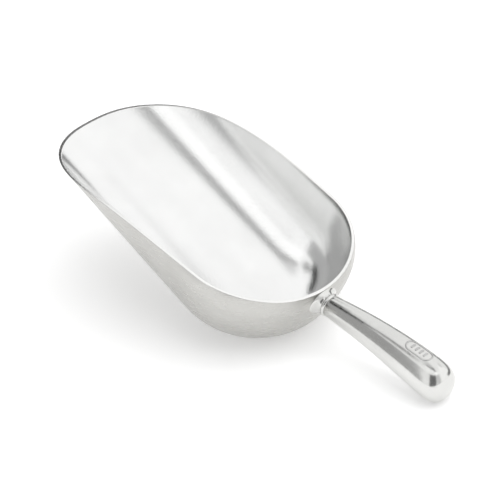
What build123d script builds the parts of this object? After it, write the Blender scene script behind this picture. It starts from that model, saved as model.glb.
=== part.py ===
from build123d import *
import math
import os

# A 12 fl oz utility scoop for ice: a round-bellied bowl with a swept rim, and a teardrop handle on a short neck.
# Millimetres. The scoop is drawn level first: the straight back of its rim lies in the plane Z = 0, the back of
# the bowl touches X = 0, the lip points to -X and the handle to +X. It is then tipped into the pose it rests in.
# A "run" is a distance from the back of the bowl towards the lip, so it is along -X.

# ---- bowl ----
BELLY_HALF_WIDTH = 52.5     # at the widest level, a little under the rim
END_LENGTH = 47.6           # the rounded back end, up to where the sides run straight
BOWL_LENGTH = 180.1         # back of the bowl to the tip of the lip
DEPTH = 50.3                # rim plane to the bottom at the rounded end
BOTTOM_RISE = 0.057         # how fast the bottom then rises towards the lip, per mm of run
RISE_BLEND = 8.4            # run over which that rise starts
BACK_POWER = 3.08           # squareness of the cross-section at the back; 2 would be an ellipse
LIP_POWER = 2.59            # and at the lip
RIM_INSET = 2.9             # how far the rim stands in from the belly
INSET_DEPTH = 10.5          # depth at which the wall has swelled out to the belly
WALL = 1.8                  # wall thickness at the back
LIP_WALL = 1.0              # and at the lip
THINNING_POWER = 1.0        # 1 thins the wall evenly along the run; more keeps it thick for longer
TOP_SPARE = 3.0             # height drawn above the rim, cut off again when the rim is trimmed
SECTION_RUNS = (75, 100, 125, 150, 170, 190)    # where the trough's sections are drawn, past the blend

# ---- rim, seen from the side ----
SWEEP_START = 11.7          # run at which the rim leaves its straight back
SWEEP_END_SLOPE = 1.855     # shape values of the S-shaped fall from there to the lip, see rim_depth
SWEEP_BELLY = -0.775
SWEEP_TILT = -3.95
SWEEP_STEPS = 14
CUTTER_REACH = 30.0         # how far the rim cutter reaches past the bowl

# ---- handle ----
NECK_RUN = -4.8             # where the handle starts, behind the back of the bowl
NECK_DROP = 5.8             # and this far under the rim plane
HANDLE_RISE = 13.1          # degrees between the handle and the rim plane
HANDLE_LENGTH = 82.9
HANDLE_START_RADIUS = 5.9
HANDLE_END_RADIUS = 11.4    # what the taper would reach if the end were not rounded off
HANDLE_FULLNESS = 0.32      # how far the taper swells out halfway along
HANDLE_END_POWER = 22.0     # the larger, the blunter the rounded end
HANDLE_TALLNESS = 1.06      # height over width of the section
HANDLE_BOW = 2.75           # how far the handle arches above a straight line
HANDLE_SHARES = (0, 0.12, 0.26, 0.4, 0.54, 0.68, 0.78)  # section places along the taper
END_ANGLES = (78, 66, 54, 42, 30, 19, 9)                # and round the end, in degrees from its tip
SPIGOT_RADIUS = 3.5
SPIGOT_LENGTH = 4.4

# ---- neck ----
COLLAR_LENGTH = 2.4
COLLAR_FACE_RADIUS = 6.0
COLLAR_CREST = 0.8          # how far the collar's rounded crest stands out from its faces
NECK_SECTIONS = (           # (distance in front of the handle, half width, half height), waist to foot
    (2.4, 5.2, 5.3),
    (3.2, 5.5, 5.4),
    (4.2, 6.5, 5.8),
    (5.4, 8.8, 6.6),
    (7.2, 10.5, 7.2),
)

# ---- raised mark on top of the handle: a plain ring around four bars ----
MARK_CENTRE = 60.8          # distance along the handle
MARK_LENGTH = 17.0
MARK_WIDTH = 7.8
MARK_LINE = 0.9             # width of the ring's line
MARK_HEIGHT = 0.35
MARK_REACH = 20.0           # height of the cutting prisms, more than half the handle's thickness
BAR_COUNT = 4
BAR_PITCH = 2.8
BAR_LENGTH = 1.2
BAR_WIDTH = 3.4

# ---- pose ----
REST_TILT = 25.75           # degrees that the lip end is tipped up when the scoop lies on a table

HANDLE_FRAME = Plane(
    origin=(-NECK_RUN, 0, -NECK_DROP),
    x_dir=(0, 1, 0),
    z_dir=(math.cos(math.radians(HANDLE_RISE)), 0, math.sin(math.radians(HANDLE_RISE))),
)   # local x across, local y up, local z along the handle


# ---- the bowl's shape ----
def inset(depth):
    """How far the wall stands in from the belly at a depth under the rim plane."""
    return RIM_INSET * max(0.0, 1 - depth / INSET_DEPTH) ** 2


def blend(run):
    """Run since the rounded end, with a soft start over RISE_BLEND."""
    past = max(0.0, run - END_LENGTH)
    return past * past / (2 * RISE_BLEND) if past < RISE_BLEND else past - RISE_BLEND / 2


def bottom_depth(run):
    """Depth of the bottom under the rim plane."""
    return DEPTH - BOTTOM_RISE * blend(run)


def section_power(run):
    """Squareness of the cross-section."""
    return BACK_POWER + (LIP_POWER - BACK_POWER) * blend(run) / blend(BOWL_LENGTH)


def rim_depth(run):
    """Depth of the rim under its straight back: an S-curve that meets the bowl's bottom at the lip."""
    u = (run - SWEEP_START) / (BOWL_LENGTH - SWEEP_START)
    fall = (3 - SWEEP_END_SLOPE) * u**2 + (SWEEP_END_SLOPE - 2) * u**3
    swell = u**2 * (1 - u) ** 2 * (SWEEP_BELLY + SWEEP_TILT * (u - 0.5))
    return bottom_depth(run) * (fall + swell)


def wall(run):
    """Wall thickness: the casting gets thinner towards the lip."""
    return WALL + (LIP_WALL - WALL) * (blend(run) / blend(BOWL_LENGTH)) ** THINNING_POWER


def half_section(run, inside, steps=12):
    """Half of the cross-section as (across, up), from above the rim down to the middle of the bottom."""
    offset = wall(run) if inside else 0
    half = BELLY_HALF_WIDTH - offset
    bottom = bottom_depth(run) - offset
    n = section_power(run)
    points = [(half - inset(-height), height) for height in (TOP_SPARE, TOP_SPARE / 2)]
    for step in range(steps):
        angle = math.radians(90 * step / steps)
        reach = (math.cos(angle) ** n + math.sin(angle) ** n) ** (-1 / n)
        depth = bottom * reach * math.sin(angle)
        points.append((half * reach * math.cos(angle) - inset(depth), -depth))
    return points + [(0.0, -bottom)]


def chord_shares(points):
    """Share of the polyline's length at each of its points, so that all sections are drawn on the same knots."""
    lengths = [0.0]
    for (across, up), (next_across, next_up) in zip(points, points[1:]):
        lengths.append(lengths[-1] + math.hypot(next_across - across, next_up - up))
    return [length / lengths[-1] for length in lengths]


def cross_section(run, inside):
    """The cross-section, closed above the rim; one curve runs from rim to rim."""
    half = half_section(run, inside)
    whole = half + [(-across, up) for across, up in reversed(half[:-1])]
    like = half_section(END_LENGTH, False)
    shares = chord_shares(like + [(-across, up) for across, up in reversed(like[:-1])])
    curve = Edge.make_spline(whole, parameters=shares)
    return make_face([curve, Line(whole[-1], whole[0])])


def bowl_form(inside):
    """The bowl's outside, or the space inside it, as a solid that reaches above the rim."""
    offset = WALL if inside else 0
    half = cross_section(END_LENGTH, inside) & Pos(BELLY_HALF_WIDTH, 0) * Rectangle(2 * BELLY_HALF_WIDTH, 4 * DEPTH)
    back_end = revolve(Rot(0, 0, -90) * Rot(90, 0, 0) * half, Axis.Z, 180)
    squash = (END_LENGTH - offset) / (BELLY_HALF_WIDTH - offset)
    back_end = Pos(-END_LENGTH, 0, 0) * scale(back_end, by=(squash, 1, 1))

    sections = []
    for run in (END_LENGTH, END_LENGTH + RISE_BLEND / 2, END_LENGTH + RISE_BLEND, *SECTION_RUNS):
        place = Plane(origin=(-run, 0, 0), x_dir=(0, 1, 0), z_dir=(1, 0, 0))
        sections.append(place * cross_section(run, inside))
    return back_end + loft(sections)


def rim_cutter():
    """Everything above the rim line."""
    runs = [SWEEP_START + (BOWL_LENGTH - SWEEP_START) * i / SWEEP_STEPS for i in range(SWEEP_STEPS + 1)]
    line = [(-run, -rim_depth(run)) for run in runs]
    slope = (rim_depth(BOWL_LENGTH + 1) - rim_depth(BOWL_LENGTH)) / 1
    past_lip = (line[-1][0] - CUTTER_REACH, line[-1][1] - CUTTER_REACH * slope)
    with BuildSketch(Plane.XZ) as outline:
        with BuildLine():
            Line((CUTTER_REACH, 0), line[0])
            Spline(line, tangents=[(-1, 0), (-1, -slope)])
            Polyline(line[-1], past_lip, (past_lip[0], CUTTER_REACH), (CUTTER_REACH, CUTTER_REACH), (CUTTER_REACH, 0))
        make_face()
    return extrude(outline.sketch, 2 * BELLY_HALF_WIDTH, both=True)


# ---- the handle's shape ----
def handle_radius(share):
    """Side-to-side radius at a share of the handle's length."""
    taper = HANDLE_START_RADIUS + (HANDLE_END_RADIUS - HANDLE_START_RADIUS) * share
    fullness = 4 * HANDLE_FULLNESS * share * (1 - share)
    return (taper + fullness) * math.sqrt(1 - share**HANDLE_END_POWER)


def handle_section(share, grow=0.0):
    """One oval section of the handle, in its own frame."""
    radius = handle_radius(share) + grow
    arch = 4 * HANDLE_BOW * share * (1 - share)
    place = HANDLE_FRAME * Pos(0, arch, share * HANDLE_LENGTH)
    return place * Ellipse(radius, (radius - grow) * HANDLE_TALLNESS + grow)


def handle_form():
    end_shares = [math.cos(math.radians(angle)) ** (2 / HANDLE_END_POWER) for angle in END_ANGLES]
    sections = [handle_section(share) for share in (*HANDLE_SHARES, *end_shares)]
    tip = Vertex(*(HANDLE_FRAME * Pos(0, 0, HANDLE_LENGTH)).position)
    return loft([*sections, tip])


def prism(sketch):
    """A prism that stands on the handle's axis under the mark and reaches out through its top."""
    upright = HANDLE_FRAME * Pos(0, 0, MARK_CENTRE) * Rot(-90, 0, 0)
    return upright * extrude(sketch, MARK_REACH)


# ---- pieces ----
def make_bowl_shell(outside):
    return outside - bowl_form(inside=True) - rim_cutter()


def make_neck_boss(outside):
    """Waist and flared foot, cut to lie against the bowl's back wall, with a socket for the spigot."""
    sections = [HANDLE_FRAME * Pos(0, 0, -ahead) * Ellipse(wide, high) for ahead, wide, high in NECK_SECTIONS]
    socket = HANDLE_FRAME * Pos(0, 0, -SPIGOT_LENGTH / 2) * Cylinder(SPIGOT_RADIUS, SPIGOT_LENGTH)
    return loft(sections) - outside - socket


def make_neck_collar():
    """A ring with a rounded crest."""
    with BuildSketch(Plane.XZ) as profile:
        with BuildLine():
            Polyline(
                (COLLAR_FACE_RADIUS, 0),
                (SPIGOT_RADIUS, 0),
                (SPIGOT_RADIUS, -COLLAR_LENGTH),
                (COLLAR_FACE_RADIUS, -COLLAR_LENGTH),
            )
            ThreePointArc(
                (COLLAR_FACE_RADIUS, -COLLAR_LENGTH),
                (COLLAR_FACE_RADIUS + COLLAR_CREST, -COLLAR_LENGTH / 2),
                (COLLAR_FACE_RADIUS, 0),
            )
        make_face()
    return HANDLE_FRAME * revolve(profile.sketch, Axis.Z)


def make_handle():
    spigot = HANDLE_FRAME * Pos(0, 0, (1 - SPIGOT_LENGTH) / 2) * Cylinder(SPIGOT_RADIUS, SPIGOT_LENGTH + 1)
    return handle_form() + spigot


def make_mark_blank(handle):
    """A skin of the mark's height on the handle."""
    reach = MARK_LENGTH / HANDLE_LENGTH
    middle = MARK_CENTRE / HANDLE_LENGTH
    shares = [middle + reach * step / 4 for step in (-3, -2, -1, 0, 1, 2, 3)]
    return loft([handle_section(share, MARK_HEIGHT) for share in shares]) - handle


def make_mark_ring(blank):
    inner = SlotOverall(MARK_LENGTH - 2 * MARK_LINE, MARK_WIDTH - 2 * MARK_LINE, rotation=90)
    return blank & prism(SlotOverall(MARK_LENGTH, MARK_WIDTH, rotation=90) - inner)


def make_mark_bars(blank):
    bars = GridLocations(0, BAR_PITCH, 1, BAR_COUNT) * Rectangle(BAR_WIDTH, BAR_LENGTH)
    return blank & prism(Sketch() + bars)


outside = bowl_form(inside=False)
handle = make_handle()
blank = make_mark_blank(handle)
pieces = {
    "bowl_shell": make_bowl_shell(outside),
    "neck_boss": make_neck_boss(outside),
    "neck_collar": make_neck_collar(),
    "handle": handle,
    "mark_ring": make_mark_ring(blank),
    "mark_bars": make_mark_bars(blank),
}

# Tip the scoop into its resting pose and put the origin under its middle, on the table.
tipped = {name: Rot(0, REST_TILT, 0) * piece for name, piece in pieces.items()}
boxes = {name: piece.bounding_box() for name, piece in tipped.items()}
low_x = min(box.min.X for box in boxes.values())
high_x = max(box.max.X for box in boxes.values())
low_z = min(box.min.Z for box in boxes.values())
to_origin = Pos(-(low_x + high_x) / 2, 0, -low_z)
for name, box in boxes.items():
    print(name, "stands", round(box.min.Z - low_z, 2), "above the table")

os.makedirs("parts", exist_ok=True)
for name, piece in tipped.items():
    export_step(to_origin * piece, f"parts/{name}.step")
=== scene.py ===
"""A cast aluminium ice scoop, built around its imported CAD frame."""

import math

import bmesh
import bpy
import numpy as np
from mathutils import Matrix, Vector


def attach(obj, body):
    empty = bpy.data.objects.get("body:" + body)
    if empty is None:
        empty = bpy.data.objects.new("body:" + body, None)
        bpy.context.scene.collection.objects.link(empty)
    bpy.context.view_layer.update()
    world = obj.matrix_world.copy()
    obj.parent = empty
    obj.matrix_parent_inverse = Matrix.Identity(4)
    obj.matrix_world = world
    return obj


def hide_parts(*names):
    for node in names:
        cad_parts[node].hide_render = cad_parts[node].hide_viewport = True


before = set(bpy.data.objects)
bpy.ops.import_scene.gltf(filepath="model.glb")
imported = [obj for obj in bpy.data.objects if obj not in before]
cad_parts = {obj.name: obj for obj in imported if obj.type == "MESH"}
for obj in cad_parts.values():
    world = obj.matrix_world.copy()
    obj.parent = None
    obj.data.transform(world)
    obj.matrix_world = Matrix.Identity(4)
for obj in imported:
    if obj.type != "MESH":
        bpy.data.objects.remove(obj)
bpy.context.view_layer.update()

# ---- driving dimensions, in millimetres and in the scoop's level frame: the back of the rim lies in Z = 0,
# the back of the bowl touches X = 0, and a run is a distance from there towards the lip, along -X ----
HALF_WIDTH, END_LENGTH, BOWL_LENGTH, DEPTH = 52.46, 47.6, 180.1, 50.3
BOTTOM_RISE, RISE_BLEND = 0.057, 8.4
BACK_POWER, LIP_POWER = 3.08, 2.59
RIM_INSET, INSET_DEPTH = 2.9, 10.5
WALL, LIP_WALL = 1.8, 1.0
OUTER_ROUND, INNER_ROUND = 0.28, 0.4  # widths of the bevels along the rim's two edges
SWEEP_START, SWEEP_END_SLOPE, SWEEP_BELLY, SWEEP_TILT = 11.7, 1.855, -0.775, -3.95
HANDLE_START = (4.8, -5.8)  # X and Z
HANDLE_RISE = math.radians(13.1)
HANDLE_LENGTH, HANDLE_START_RADIUS, HANDLE_END_RADIUS = 82.9, 5.9, 11.4
HANDLE_FULLNESS, HANDLE_END_POWER, HANDLE_TALLNESS, HANDLE_BOW = 0.32, 22.0, 1.06, 2.75
SHOULDER_ROUND = 0.5
COLLAR_LENGTH, COLLAR_RADIUS, COLLAR_CREST = 2.4, 6.0, 0.8
COLLAR_CORE = 3.4  # radius of the first ring in the collar's flat ends
COLLAR_CORNER, COLLAR_STEP = 0.25, 0.12  # how far in the flat ends and the crest's foot stop
# Each neck section is a distance ahead of the handle's start, a half width and a half height.
NECK_SECTIONS = ((2.4, 5.2, 5.3), (3.2, 5.5, 5.4), (4.2, 6.5, 5.8), (5.4, 8.8, 6.6), (7.2, 10.5, 7.2))
FOOT_BITE = 0.9  # how deep the neck's foot is let into the bowl's wall
MARK_CENTRE, MARK_LENGTH, MARK_WIDTH, MARK_LINE, MARK_HEIGHT = 60.8, 17.0, 7.8, 0.9, 0.35
MARK_SINK = 0.12  # how deep the mark is let into the handle
BAR_COUNT, BAR_PITCH, BAR_LENGTH, BAR_WIDTH = 4, 2.8, 1.2, 3.4
REST_TILT = math.radians(25.75)
LEVEL_ORIGIN = (48.869, 33.774)  # where the level frame's origin stands in the row frame, X and Z


def to_row(points):
    """Level millimetres to row metres."""
    p = np.asarray(points, float)
    x, y, z = p[..., 0], p[..., 1], p[..., 2]
    c, s = math.cos(REST_TILT), math.sin(REST_TILT)
    return np.stack([x * c + z * s + LEVEL_ORIGIN[0], y, -x * s + z * c + LEVEL_ORIGIN[1]], -1) / 1000


# ---- meshes ----
def make_object(name, points, faces, materials, indices=None, closed=True):
    """A smooth-shaded mesh from points in metres, facing outwards where it is closed."""
    mesh = bpy.data.meshes.new(name)
    mesh.from_pydata([tuple(p) for p in points], [], faces)
    for material in materials:
        mesh.materials.append(material)
    if indices is not None:
        mesh.polygons.foreach_set("material_index", np.asarray(indices, np.int32))
    shape = bmesh.new()
    shape.from_mesh(mesh)
    bmesh.ops.recalc_face_normals(shape, faces=shape.faces)
    if closed and shape.calc_volume(signed=True) < 0:
        bmesh.ops.reverse_faces(shape, faces=shape.faces)
    shape.to_mesh(mesh)
    shape.free()
    mesh.shade_smooth()
    mesh.update()
    obj = bpy.data.objects.new(name, mesh)
    bpy.context.scene.collection.objects.link(obj)
    return obj


WELD_DIGITS = 5


def point_key(point):
    """Names a point by its rounded place, in millimetres."""
    return tuple(np.round(point, WELD_DIGITS) + 0.0)


def weld(points, faces):
    """Merges points that coincide, and drops faces that vanish."""
    keys, place, kept = {}, [], []
    for p in points:
        key = point_key(p)
        if key not in keys:
            keys[key] = len(kept)
            kept.append(p)
        place.append(keys[key])
    out, source = [], []
    for i, face in enumerate(faces):
        ring = []
        for v in (place[v] for v in face):
            if not ring or ring[-1] != v:
                ring.append(v)
        if len(ring) > 1 and ring[0] == ring[-1]:
            ring.pop()
        if len(set(ring)) >= 3:
            out.append(tuple(ring))
            source.append(i)
    return np.array(kept), out, source


def grid_faces(rows, columns, start=0, flip=False, wrap=False):
    """Quads of a grid stored row by row."""
    faces = []
    for i in range(rows - 1):
        for j in range(columns if wrap else columns - 1):
            k = (j + 1) % columns
            a, b = start + i * columns + j, start + i * columns + k
            c, d = b + columns, a + columns
            faces.append((a, d, c, b) if flip else (a, b, c, d))
    return faces


def fan_faces(first, around, middle, flip=False):
    """Triangles from a ring of points to one in its middle."""
    faces = []
    for j in range(around):
        a, b = first + j, first + (j + 1) % around
        faces.append((middle, b, a) if flip else (middle, a, b))
    return faces


# ---- the bowl ----
def blend_run(run):
    past = np.maximum(0.0, run - END_LENGTH)
    return np.where(past < RISE_BLEND, past * past / (2 * RISE_BLEND), past - RISE_BLEND / 2)


FULL_BLEND = float(blend_run(np.array(BOWL_LENGTH)))


def bottom_depth(run):
    return DEPTH - BOTTOM_RISE * blend_run(run)


def section_power(run):
    return BACK_POWER + (LIP_POWER - BACK_POWER) * blend_run(run) / FULL_BLEND


def rim_depth(run):
    u = np.maximum(0.0, (run - SWEEP_START) / (BOWL_LENGTH - SWEEP_START))
    fall = (3 - SWEEP_END_SLOPE) * u**2 + (SWEEP_END_SLOPE - 2) * u**3
    return bottom_depth(run) * (fall + u**2 * (1 - u) ** 2 * (SWEEP_BELLY + SWEEP_TILT * (u - 0.5)))


def wall(run):
    return WALL + (LIP_WALL - WALL) * blend_run(run) / FULL_BLEND


def section_point(run, angle, inside):
    """Across and depth of a point of the cross-section, whose angle is 0 at the side and 90 below."""
    offset = wall(run) if inside else 0.0
    n = section_power(run)
    reach = (np.maximum(np.cos(angle), 0) ** n + np.sin(angle) ** n) ** (-1 / n)
    depth = (bottom_depth(run) - offset) * reach * np.sin(angle)
    across = (HALF_WIDTH - offset) * reach * np.cos(angle)
    return across - RIM_INSET * np.maximum(0.0, 1 - depth / INSET_DEPTH) ** 2, depth


def angle_at_depth(run, depth, inside):
    offset = wall(run) if inside else 0.0
    n = section_power(run)
    down = np.clip(depth / (bottom_depth(run) - offset), 0, 1)
    return np.arctan2(down, (1 - down**n) ** (1 / n))


def end_point(turn, angle, inside):
    """A point of the rounded end, whose turn is 90 degrees at the very back and 0 at the straight sides."""
    offset = WALL if inside else 0.0
    across, depth = section_point(np.full_like(angle, END_LENGTH), angle, inside)
    squash = (END_LENGTH - offset) / (HALF_WIDTH - offset)
    return np.stack([-(END_LENGTH - across * np.sin(turn) * squash), across * np.cos(turn), -depth], -1)


RIM_ROUNDS, TIP_ROUNDS = 12, 60  # rounds of solving, by repetition and by halving
TIP_SEARCH = 30.0  # how far back from the lip the inside's tip is looked for


def end_rim_angle(turn, inside):
    """Section angle at which the rim cuts the rounded end."""
    depth = np.zeros_like(turn)
    for _ in range(RIM_ROUNDS):
        angle = angle_at_depth(np.full_like(turn, END_LENGTH), depth, inside)
        depth = rim_depth(-end_point(turn, angle, inside)[..., 0])
    return angle_at_depth(np.full_like(turn, END_LENGTH), depth, inside)


def bowl_tip(inside):
    """Run at which the rim meets the bottom."""
    if not inside:
        return BOWL_LENGTH
    low, high = BOWL_LENGTH - TIP_SEARCH, BOWL_LENGTH
    for _ in range(TIP_ROUNDS):
        middle = (low + high) / 2
        run = np.array(middle)
        if rim_depth(run) < bottom_depth(run) - wall(run):
            low = middle
        else:
            high = middle
    return low


STATIONS, ROWS = 220, 56
END_STEPS, RUN_STEPS, TIP_CROWDING = 400, 1600, 2.5  # how finely the rim is measured, closest at the tip
CENTRE_REACH = 118.0  # how far along the bottom the mesh's columns are spread


def bowl_columns(inside):
    """Columns of points from the rim down to the middle of the bottom, from the back round to the lip."""
    tip = bowl_tip(inside)
    turn = np.linspace(math.pi / 2, 0, END_STEPS)
    end_angle = end_rim_angle(turn, inside)
    end_rim = end_point(turn, end_angle, inside)
    share = np.linspace(0, 1, RUN_STEPS)[1:]
    run = tip - (tip - END_LENGTH) * (1 - share) ** TIP_CROWDING
    run_angle = angle_at_depth(run, rim_depth(run), inside)
    run_angle[-1] = math.pi / 2
    across, depth = section_point(run, run_angle, inside)
    run_rim = np.stack([-run, across, -depth], -1)
    rim = np.concatenate([end_rim, run_rim])
    length = np.concatenate([[0], np.cumsum(np.linalg.norm(np.diff(rim, axis=0), axis=1))])
    places = np.linspace(0, length[-1], STATIONS + 1)
    turns = np.interp(places, length, np.concatenate([turn, np.zeros(len(run))]))
    runs = np.interp(places, length, np.concatenate([np.full(len(turn), END_LENGTH), run]))
    down = np.linspace(0, 1, ROWS + 1)
    columns = np.zeros((STATIONS + 1, ROWS + 1, 3))
    for i in range(STATIONS + 1):
        if runs[i] <= END_LENGTH + 1e-9:
            start = end_rim_angle(np.array([turns[i]]), inside)[0]
            angle = start + (math.pi / 2 - start) * down
            columns[i] = end_point(np.full_like(angle, turns[i]), angle, inside)
        else:
            rim_run = np.array(min(runs[i], tip))
            start = float(angle_at_depth(rim_run, rim_depth(rim_run), inside))
            if i == STATIONS:
                start = math.pi / 2
            angle = start + (math.pi / 2 - start) * down
            along = (rim_run - END_LENGTH) / (tip - END_LENGTH)
            centre = END_LENGTH + (CENTRE_REACH - END_LENGTH) * along
            step_run = rim_run + (centre - rim_run) * down
            across, depth = section_point(step_run, angle, inside)
            columns[i] = np.stack([-step_run, across, -depth], -1)
        columns[i][-1][1] = 0.0
    columns[0, :, 1] = 0.0
    columns[-1, :, 1] = 0.0
    return columns


LAND_SHARES = (0.0, 0.25, 0.5, 0.75, 1.0)


def build_bowl(materials):
    """The outside, the inside and the rim's land between them, each mirrored, as one closed skin."""
    outer, inner = bowl_columns(False), bowl_columns(True)
    land = []
    for share in LAND_SHARES:
        line = outer[:, 0] + (inner[:, 0] - outer[:, 0]) * share
        if 0 < share < 1:
            line[:, 2] = -rim_depth(-line[:, 0])
        land.append(line)
    land = np.stack(land, 1)
    points, faces, kinds = [], [], []
    for side in (1, -1):
        skins = ((outer, side == 1), (inner, side == -1), (land, side == 1))
        for kind, (columns, flip) in enumerate(skins):
            new = grid_faces(columns.shape[0], columns.shape[1], len(points), flip)
            points.extend(columns.reshape(-1, 3) * (1, side, 1))
            faces.extend(new)
            kinds.extend([kind] * len(new))
    rim_keys = []
    for columns in (outer, inner):
        rim_keys.append({point_key(p * (1, side, 1)) for side in (1, -1) for p in columns[:, 0]})
    points, faces, source = weld(points, faces)
    kinds = [kinds[i] for i in source]
    rim_sets = [{i for i, p in enumerate(points) if point_key(p) in keys} for keys in rim_keys]
    obj = make_object("bowl", to_row(points), faces, materials, kinds)
    weights = obj.data.attributes.new("bevel_weight_edge", "FLOAT", "EDGE")
    for edge in obj.data.edges:
        a, b = edge.vertices
        if a in rim_sets[0] and b in rim_sets[0]:
            weights.data[edge.index].value = OUTER_ROUND / INNER_ROUND
        elif a in rim_sets[1] and b in rim_sets[1]:
            weights.data[edge.index].value = 1.0
    bevel = obj.modifiers.new("rounded_edges", "BEVEL")
    bevel.width = INNER_ROUND / 1000
    bevel.segments = 3
    bevel.limit_method = "WEIGHT"
    bevel.use_clamp_overlap = True
    bevel.harden_normals = True
    return obj


# ---- the handle ----
def handle_frame(across, up, along):
    """Handle coordinates to level ones."""
    c, s = math.cos(HANDLE_RISE), math.sin(HANDLE_RISE)
    x = HANDLE_START[0] + along * c - up * s
    z = HANDLE_START[1] + along * s + up * c
    return np.stack([x, across, z], -1)


def handle_radius(share):
    taper = HANDLE_START_RADIUS + (HANDLE_END_RADIUS - HANDLE_START_RADIUS) * share
    full = taper + 4 * HANDLE_FULLNESS * share * (1 - share)
    return full * np.sqrt(np.maximum(0, 1 - share**HANDLE_END_POWER))


def handle_arch(share):
    return 4 * HANDLE_BOW * share * (1 - share)


def lathe(name, rings, around, material):
    """Closed solid along the handle, from rings of half width, half height, centre and place along."""
    angle = np.linspace(0, 2 * math.pi, around, endpoint=False)
    points = []
    for wide, tall, centre, along in rings:
        up = centre + tall * np.cos(angle)
        points.extend(handle_frame(wide * np.sin(angle), up, np.full(around, along)))
    faces = grid_faces(len(rings), around, flip=True, wrap=True)
    for first, ring, flip in ((0, rings[0], False), (len(points) - around, rings[-1], True)):
        faces.extend(fan_faces(first, around, len(points), flip))
        points.append(handle_frame(0.0, ring[2], ring[3]))
    points, faces, _ = weld(points, faces)
    return make_object(name, to_row(points), faces, [material])


SHOULDER_STEPS = 4
END_FACE = 0.55 * HANDLE_START_RADIUS  # radius of the first ring in the handle's flat start
SHARES_ALONG = np.linspace(0.02, 0.78, 60)
END_ANGLES = np.radians(np.linspace(84, 1.2, 42))  # these crowd the rings towards the blunt end


def build_handle(material):
    rings = [(END_FACE, END_FACE, 0.0, 0.0)]
    for step in range(SHOULDER_STEPS + 1):
        angle = math.pi / 2 * step / SHOULDER_STEPS
        back = SHOULDER_ROUND * (1 - math.sin(angle))
        along = SHOULDER_ROUND * (1 - math.cos(angle))
        share = along / HANDLE_LENGTH
        radius = handle_radius(share)
        rings.append((radius - back, radius * HANDLE_TALLNESS - back, handle_arch(share), along))
    for share in [*SHARES_ALONG, *(math.cos(a) ** (2 / HANDLE_END_POWER) for a in END_ANGLES)]:
        radius = handle_radius(share)
        rings.append((radius, radius * HANDLE_TALLNESS, handle_arch(share), share * HANDLE_LENGTH))
    return lathe("handle_grip", rings, 128, material)


COLLAR_STEPS, CREST_POWER = 14, 0.75


def build_collar(material):
    """A ring with flat ends and a round crest between them."""
    radii = [(COLLAR_CORE, -COLLAR_LENGTH), (COLLAR_RADIUS - COLLAR_CORNER, -COLLAR_LENGTH)]
    for step in range(COLLAR_STEPS + 1):
        share = step / COLLAR_STEPS
        crest = COLLAR_CREST * (1 - (2 * share - 1) ** 2) ** CREST_POWER
        radii.append((COLLAR_RADIUS - COLLAR_STEP + crest, -COLLAR_LENGTH + COLLAR_LENGTH * share))
    radii += [(COLLAR_RADIUS - COLLAR_CORNER, 0.0), (COLLAR_CORE, 0.0)]
    return lathe("collar", [(radius, radius, 0.0, along) for radius, along in radii], 96, material)


def natural_spline(xs, ys, x):
    """A smooth curve through a few points."""
    n = len(xs)
    h = np.diff(xs)
    system, right = np.eye(n), np.zeros(n)
    for i in range(1, n - 1):
        system[i, i - 1 : i + 2] = h[i - 1], 2 * (h[i - 1] + h[i]), h[i]
        right[i] = 6 * ((ys[i + 1] - ys[i]) / h[i] - (ys[i] - ys[i - 1]) / h[i - 1])
    m = np.linalg.solve(system, right)
    i = np.clip(np.searchsorted(xs, x) - 1, 0, n - 2)
    a, b = xs[i + 1] - x, x - xs[i]
    bend = (m[i] * a**3 + m[i + 1] * b**3) / (6 * h[i])
    return bend + (ys[i] / h[i] - m[i] * h[i] / 6) * a + (ys[i + 1] / h[i] - m[i + 1] * h[i] / 6) * b


NECK_RINGS = 26


def build_neck(material):
    """Flares from the collar to the bowl, and its foot follows the bowl's back wall."""
    around = 96
    angle = np.linspace(0, 2 * math.pi, around, endpoint=False)
    ahead, wide, high = (np.array(v) for v in zip(*NECK_SECTIONS))
    steps = np.linspace(ahead[0], ahead[-1], NECK_RINGS)
    widths, highs = natural_spline(ahead, wide, steps), natural_spline(ahead, high, steps)
    rings = []
    for a, w, h in zip(steps, widths, highs):
        ring = handle_frame(w * np.sin(angle), h * np.cos(angle), np.full(around, -a))
        depth = np.maximum(0.0, -ring[:, 2])
        run = np.full(around, END_LENGTH)
        section, _ = section_point(run, angle_at_depth(run, depth, False), False)
        side = np.clip(ring[:, 1] / section, -1, 1)
        back = -(END_LENGTH - END_LENGTH / HALF_WIDTH * section * np.sqrt(1 - side**2))
        ring[:, 0] = np.maximum(ring[:, 0], back - FOOT_BITE)
        rings.append(ring)
    points = list(np.concatenate(rings))
    faces = grid_faces(len(rings), around, wrap=True)
    for first, ring, flip in ((0, rings[0], False), (len(points) - around, rings[-1], True)):
        faces.extend(fan_faces(first, around, len(points), flip))
        points.append(ring.mean(0))
    points, faces, _ = weld(points, faces)
    return make_object("neck", to_row(points), faces, [material])


# ---- the raised mark ----
def on_handle(across, along, lift):
    """A point above the top of the handle, lifted along its surface's normal."""
    share = along / HANDLE_LENGTH
    radius = handle_radius(share)
    turn = np.arcsin(np.clip(across / radius, -1, 1))
    tall = radius * HANDLE_TALLNESS
    up = handle_arch(share) + tall * np.cos(turn) + lift * np.cos(turn)
    return handle_frame(across + lift * np.sin(turn), up, along)


# The raised line's outline, from its middle outwards: shares of its width, and heights.
HALF_PROFILE = ((0.16, MARK_HEIGHT), (0.34, 0.28), (0.46, 0.12), (0.5, -MARK_SINK))
RAISED_PROFILE = [(-aside, lift) for aside, lift in reversed(HALF_PROFILE)] + list(HALF_PROFILE)
ROUND_STEPS, STRAIGHT_STEPS = 24, 12


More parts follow.
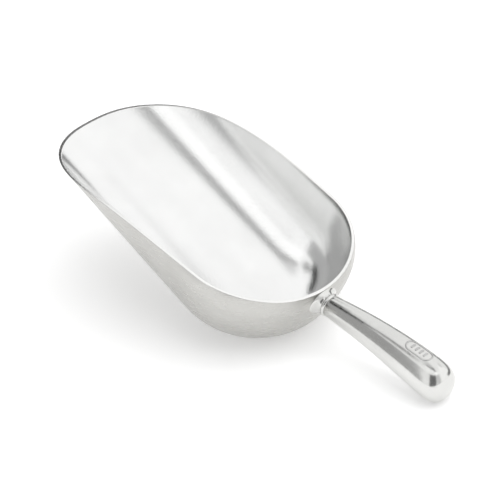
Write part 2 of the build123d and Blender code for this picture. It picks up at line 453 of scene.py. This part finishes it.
def build_mark_ring(material):
    """A stadium-shaped raised line."""
    radius = (MARK_WIDTH - MARK_LINE) / 2
    straight = (MARK_LENGTH - MARK_WIDTH) / 2
    path = []
    for end in (1, -1):
        for step in range(ROUND_STEPS + 1):
            angle = math.pi * step / ROUND_STEPS
            along = straight + radius * math.sin(angle)
            path.append((end * radius * math.cos(angle), end * along, angle, end))
        for step in range(1, STRAIGHT_STEPS):
            along = straight * (1 - 2 * step / STRAIGHT_STEPS)
            path.append((-end * radius, end * along, math.pi, end))
    points = []
    for across, along, angle, end in path:
        out = (end * math.cos(angle), end * math.sin(angle))
        for offset, lift in RAISED_PROFILE:
            aside = offset * MARK_LINE
            points.append(on_handle(across + out[0] * aside, MARK_CENTRE + along + out[1] * aside, lift))
    size = len(RAISED_PROFILE)
    faces = []
    for i in range(len(path)):
        row, next_row = i * size, (i + 1) % len(path) * size
        for j in range(size):
            k = (j + 1) % size
            faces.append((row + j, next_row + j, next_row + k, row + k))
    return make_object("mark_outline", to_row(points), faces, [material])


# The bars' outline, from their foot upwards: how far in from the foot's edge, and heights.
BAR_LEVELS = ((0.0, -MARK_SINK), (0.02, 0.12), (0.08, 0.27), (0.2, 0.34), (0.5, MARK_HEIGHT))
BAR_POWER = 5  # how square the bars' corners are


def build_mark_bars(material):
    """Plain raised bars inside the ring."""
    points, faces = [], []
    around = 40
    for bar in range(BAR_COUNT):
        centre = MARK_CENTRE + (bar - (BAR_COUNT - 1) / 2) * BAR_PITCH
        start = len(points)
        for inset, lift in BAR_LEVELS:
            for k in range(around):
                angle = 2 * math.pi * k / around
                x, y = math.cos(angle), math.sin(angle)
                reach = (abs(x) ** BAR_POWER + abs(y) ** BAR_POWER) ** (-1 / BAR_POWER)
                across = (BAR_WIDTH / 2 - inset) * x * reach
                along = (BAR_LENGTH / 2 - inset) * y * reach
                points.append(on_handle(across, centre + along, lift))
        faces.extend(grid_faces(len(BAR_LEVELS), around, start, wrap=True))
        for first, lift, flip in ((start, -MARK_SINK, True), (len(points) - around, MARK_HEIGHT, False)):
            faces.extend(fan_faces(first, around, len(points), flip))
            points.append(on_handle(0.0, centre, lift))
    return make_object("mark_lines", to_row(points), faces, [material])


# ---- materials ----
def new_material(name):
    material = bpy.data.materials.new(name)
    material.use_nodes = True
    nodes, links = material.node_tree.nodes, material.node_tree.links
    return material, nodes, links, nodes["Principled BSDF"]


CLOUD_SCALE, CLOUD_DETAIL, GRAIN_DETAIL = 28, 5, 4
NOISE_LOW, NOISE_HIGH = 0.3, 0.7  # most of a noise texture's values lie between these
RELIEF_DEPTH = 0.0002
BRUSH_STRETCH = (1.0, 1.0, 11.0)  # this much finer along Z, which leaves lines lying nearly level


def metal(name, dark, light, rough, grain, bump, brushed=False):
    """Bare aluminium: gently varied colour, and a fine grain in roughness and relief."""
    material, nodes, links, shader = new_material(name)
    shader.inputs["Metallic"].default_value = 1.0
    place = nodes.new("ShaderNodeTexCoord")
    cloud = nodes.new("ShaderNodeTexNoise")
    cloud.inputs["Scale"].default_value = CLOUD_SCALE
    cloud.inputs["Detail"].default_value = CLOUD_DETAIL
    links.new(place.outputs["Object"], cloud.inputs["Vector"])
    colour = nodes.new("ShaderNodeValToRGB")
    for stop, position, tone in zip(colour.color_ramp.elements, (NOISE_LOW, NOISE_HIGH), (dark, light)):
        stop.position = position
        stop.color = (*tone, 1)
    links.new(cloud.outputs["Fac"], colour.inputs["Fac"])
    links.new(colour.outputs["Color"], shader.inputs["Base Color"])
    fine = nodes.new("ShaderNodeTexNoise")
    fine.inputs["Scale"].default_value = grain
    fine.inputs["Detail"].default_value = GRAIN_DETAIL
    source = place.outputs["Object"]
    if brushed:
        mapping = nodes.new("ShaderNodeMapping")
        mapping.inputs["Scale"].default_value = BRUSH_STRETCH
        links.new(source, mapping.inputs["Vector"])
        source = mapping.outputs["Vector"]
    links.new(source, fine.inputs["Vector"])
    roughness = nodes.new("ShaderNodeMapRange")
    roughness.inputs["From Min"].default_value = NOISE_LOW
    roughness.inputs["From Max"].default_value = NOISE_HIGH
    roughness.inputs["To Min"].default_value, roughness.inputs["To Max"].default_value = rough
    links.new(fine.outputs["Fac"], roughness.inputs["Value"])
    links.new(roughness.outputs["Result"], shader.inputs["Roughness"])
    relief = nodes.new("ShaderNodeBump")
    relief.inputs["Strength"].default_value = bump
    relief.inputs["Distance"].default_value = RELIEF_DEPTH
    links.new(fine.outputs["Fac"], relief.inputs["Height"])
    links.new(relief.outputs["Normal"], shader.inputs["Normal"])
    return material


inside_metal = metal(
    "satin_inside", (0.815, 0.817, 0.812), (0.885, 0.887, 0.882), rough=(0.15, 0.23), grain=900, bump=0.22
)
# The outside's colour, far darker than the inside's, is painted shade of the floor-facing underside; the
# brushed grain in roughness and relief is the metal's own.
outside_metal_painted_shade = metal(
    "brushed_outside_painted_shade",
    (0.50, 0.495, 0.475),
    (0.59, 0.585, 0.565),
    rough=(0.24, 0.36),
    grain=110,
    bump=0.35,
    brushed=True,
)
rim_metal = metal(
    "ground_rim", (0.84, 0.84, 0.83), (0.90, 0.90, 0.89), rough=(0.20, 0.30), grain=1200, bump=0.15
)
handle_metal = metal(
    "polished_handle", (0.63, 0.63, 0.615), (0.71, 0.71, 0.695), rough=(0.14, 0.23), grain=500, bump=0.10
)
# The mark's colour is painted shade: darker than the handle so that its raised lines show.
mark_metal_painted_shade = metal(
    "cast_mark_painted_shade", (0.44, 0.44, 0.44), (0.58, 0.58, 0.57), rough=(0.30, 0.45), grain=700, bump=0.15
)

# Each visible piece, its material slot in the record and the frame's nodes that it replaces.
PIECES = (
    (build_bowl([outside_metal_painted_shade, inside_metal, rim_metal]), "bowl", ["bowl_shell"]),
    (build_neck(handle_metal), "bowl", ["neck_boss"]),
    (build_collar(handle_metal), "handle", ["neck_collar"]),
    (build_handle(handle_metal), "handle", ["handle"]),
    (build_mark_ring(mark_metal_painted_shade), "handle", ["mark_ring"]),
    (build_mark_bars(mark_metal_painted_shade), "handle", ["mark_bars"]),
)
for piece, slot, nodes in PIECES:
    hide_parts(*nodes)
    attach(piece, "root")


# ---- floor ----
FLOOR = 3.0  # half the floor's side, in metres like everything below
FLOOR_GLOW = 0.29  # a light table, lit a little from below


def build_floor():
    material, _, _, shader = new_material("pale_floor")
    shader.inputs["Base Color"].default_value = (0.95, 0.95, 0.95, 1)
    shader.inputs["Roughness"].default_value = 0.9
    shader.inputs["Specular IOR Level"].default_value = 0.1
    shader.inputs["Emission Color"].default_value = (1, 1, 1, 1)
    shader.inputs["Emission Strength"].default_value = FLOOR_GLOW
    corners = [(-FLOOR, -FLOOR, 0), (FLOOR, -FLOOR, 0), (FLOOR, FLOOR, 0), (-FLOOR, FLOOR, 0)]
    obj = make_object("floor", corners, [(0, 1, 2, 3)], [material], closed=False)


build_floor()


# ---- light: a white room round the table, as one dome with soft-edged softboxes and dark cards ----
# Each patch is its azimuths and elevations in degrees and its strength, and it lies over the wall and the
# patches before it. Azimuth 0 is the +X side and 90 the +Y side, and the camera stands at -42.
WALL_STRENGTH = 1.22
ROOM_PATCHES = {
    "overhead": ((0, 360), (83, 90), 0.8),
    "key": ((-100, -30), (54, 78), 1.35),
    "key_end": ((-30, 0), (68, 78), 0.5),
    "dark_gap": ((-120, 15), (77.5, 83), 0.2),
    "gap_end": ((-150, -120), (60, 72), 0.35),
    "above_right": ((-30, 0), (52, 68), 1.6),
    "right": ((0, 75), (0, 62), 1.4),
    "window_bar": ((72, 90), (44, 48), 0.5),
    "table_edge": ((45, 138), (0, 15), 0.25),
    "left": ((165, 255), (0, 52), 0.5),
    "lip_card": ((138, 165), (0, 42), 0.0),
    "back_card": ((170, 222), (46, 58), 0.0),
    "camera_card": ((285, 330), (0, 54), 0.2),
    "camera_right": ((330, 360), (0, 52), 0.85),
}
SOFT_AZIMUTH, SOFT_ELEVATION = 8.0, 4.0  # how wide a patch's soft edge is
ROOM_RADIUS, ROOM_GLOW = 2.2, 0.9
ROOM_AROUND, ROOM_UP = 180, 72
LOWEST, HIGHEST = 0.5, 89.5  # elevations of the dome's first and last rings


def soft_step(distance, width):
    """Rises from 0 to 1 over the width, and is a half at distance 0."""
    t = np.clip(distance / width + 0.5, 0, 1)
    return t * t * (3 - 2 * t)


def room_strength(azimuth, elevation):
    total = np.full_like(azimuth, WALL_STRENGTH)
    for (a0, a1), (e0, e1), strength in ROOM_PATCHES.values():
        weight = np.ones_like(azimuth)
        if a1 - a0 < 360:
            away = np.abs((azimuth - (a0 + a1) / 2 + 180) % 360 - 180)
            weight = soft_step((a1 - a0) / 2 - away, SOFT_AZIMUTH)
        if e0 > 0:
            weight = weight * soft_step(elevation - e0, SOFT_ELEVATION)
        if e1 < 90:
            weight = weight * soft_step(e1 - elevation, SOFT_ELEVATION)
        total += weight * (strength - total)
    return total


def build_room():
    """The dome, whose glow is stored at its points. The camera looks through it."""
    turns = np.arange(ROOM_AROUND) * 360 / ROOM_AROUND
    azimuth, elevation = np.meshgrid(turns, np.linspace(LOWEST, HIGHEST, ROOM_UP))
    a, e = np.radians(azimuth), np.radians(elevation)
    directions = np.stack([np.cos(e) * np.cos(a), np.cos(e) * np.sin(a), np.sin(e)], -1)
    points = ROOM_RADIUS * directions.reshape(-1, 3)
    faces = grid_faces(ROOM_UP, ROOM_AROUND, wrap=True)
    faces.append(tuple((ROOM_UP - 1) * ROOM_AROUND + i for i in range(ROOM_AROUND)))
    material, nodes, links, shader = new_material("room_light")
    shader.inputs["Base Color"].default_value = (0, 0, 0, 1)
    shader.inputs["Specular IOR Level"].default_value = 0
    shader.inputs["Emission Strength"].default_value = ROOM_GLOW
    glow = nodes.new("ShaderNodeVertexColor")
    glow.layer_name = "glow"
    links.new(glow.outputs["Color"], shader.inputs["Emission Color"])
    obj = make_object("room", points, faces, [material], closed=False)
    colours = obj.data.color_attributes.new("glow", "FLOAT_COLOR", "POINT")
    for i, strength in enumerate(room_strength(azimuth, elevation).ravel()):
        colours.data[i].color = (strength, strength, strength, 1)
    obj.visible_camera = False


build_room()

# A lamp nearly straight above whitens the floor. Metal doesn't reflect it.
TABLE_LIGHT_PLACE, TABLE_LIGHT_SIZE, TABLE_LIGHT_WATTS = (0.15, 0.1, 1.3), 1.0, 3.5
table_light = bpy.data.objects.new("table_light", bpy.data.lights.new("table_light", "AREA"))
table_light.data.size = TABLE_LIGHT_SIZE
table_light.data.energy = TABLE_LIGHT_WATTS
table_light.location = TABLE_LIGHT_PLACE
table_light.visible_glossy = False
table_light.visible_camera = False
bpy.context.scene.collection.objects.link(table_light)

# The camera sees plain white past the floor's edge.
world = bpy.data.worlds.new("studio")
bpy.context.scene.world = world
world.use_nodes = True
background = world.node_tree.nodes["Background"]
background.inputs["Color"].default_value = (1.0, 1.0, 1.0, 1)
background.inputs["Strength"].default_value = 1.0

# ---- camera ----
AZIMUTH, ELEVATION, ROLL = (math.radians(v) for v in (48.451, 31.892, -5.151))
TARGET = Vector((-0.0539, 0.0400, 0.0))
DISTANCE = 1.5427
LENS, SENSOR = 199.77, 36  # millimetres
CLIP_START, CLIP_END = 0.05, 50
level = math.cos(ELEVATION)
back = Vector((math.sin(AZIMUTH) * level, -math.cos(AZIMUTH) * level, math.sin(ELEVATION)))
level_right = Vector((math.cos(AZIMUTH), math.sin(AZIMUTH), 0))
level_up = back.cross(level_right)
right = level_right * math.cos(ROLL) + level_up * math.sin(ROLL)
up = level_up * math.cos(ROLL) - level_right * math.sin(ROLL)
camera = bpy.data.objects.new("camera", bpy.data.cameras.new("camera"))
camera.data.lens, camera.data.sensor_width = LENS, SENSOR
camera.data.clip_start, camera.data.clip_end = CLIP_START, CLIP_END
place = TARGET + back * DISTANCE
camera.matrix_world = Matrix([(right[i], up[i], back[i], place[i]) for i in range(3)] + [(0, 0, 0, 1)])
bpy.context.scene.collection.objects.link(camera)
bpy.context.scene.camera = camera
bpy.context.scene.view_settings.view_transform = "Standard"
bpy.context.scene.view_settings.look = "None"
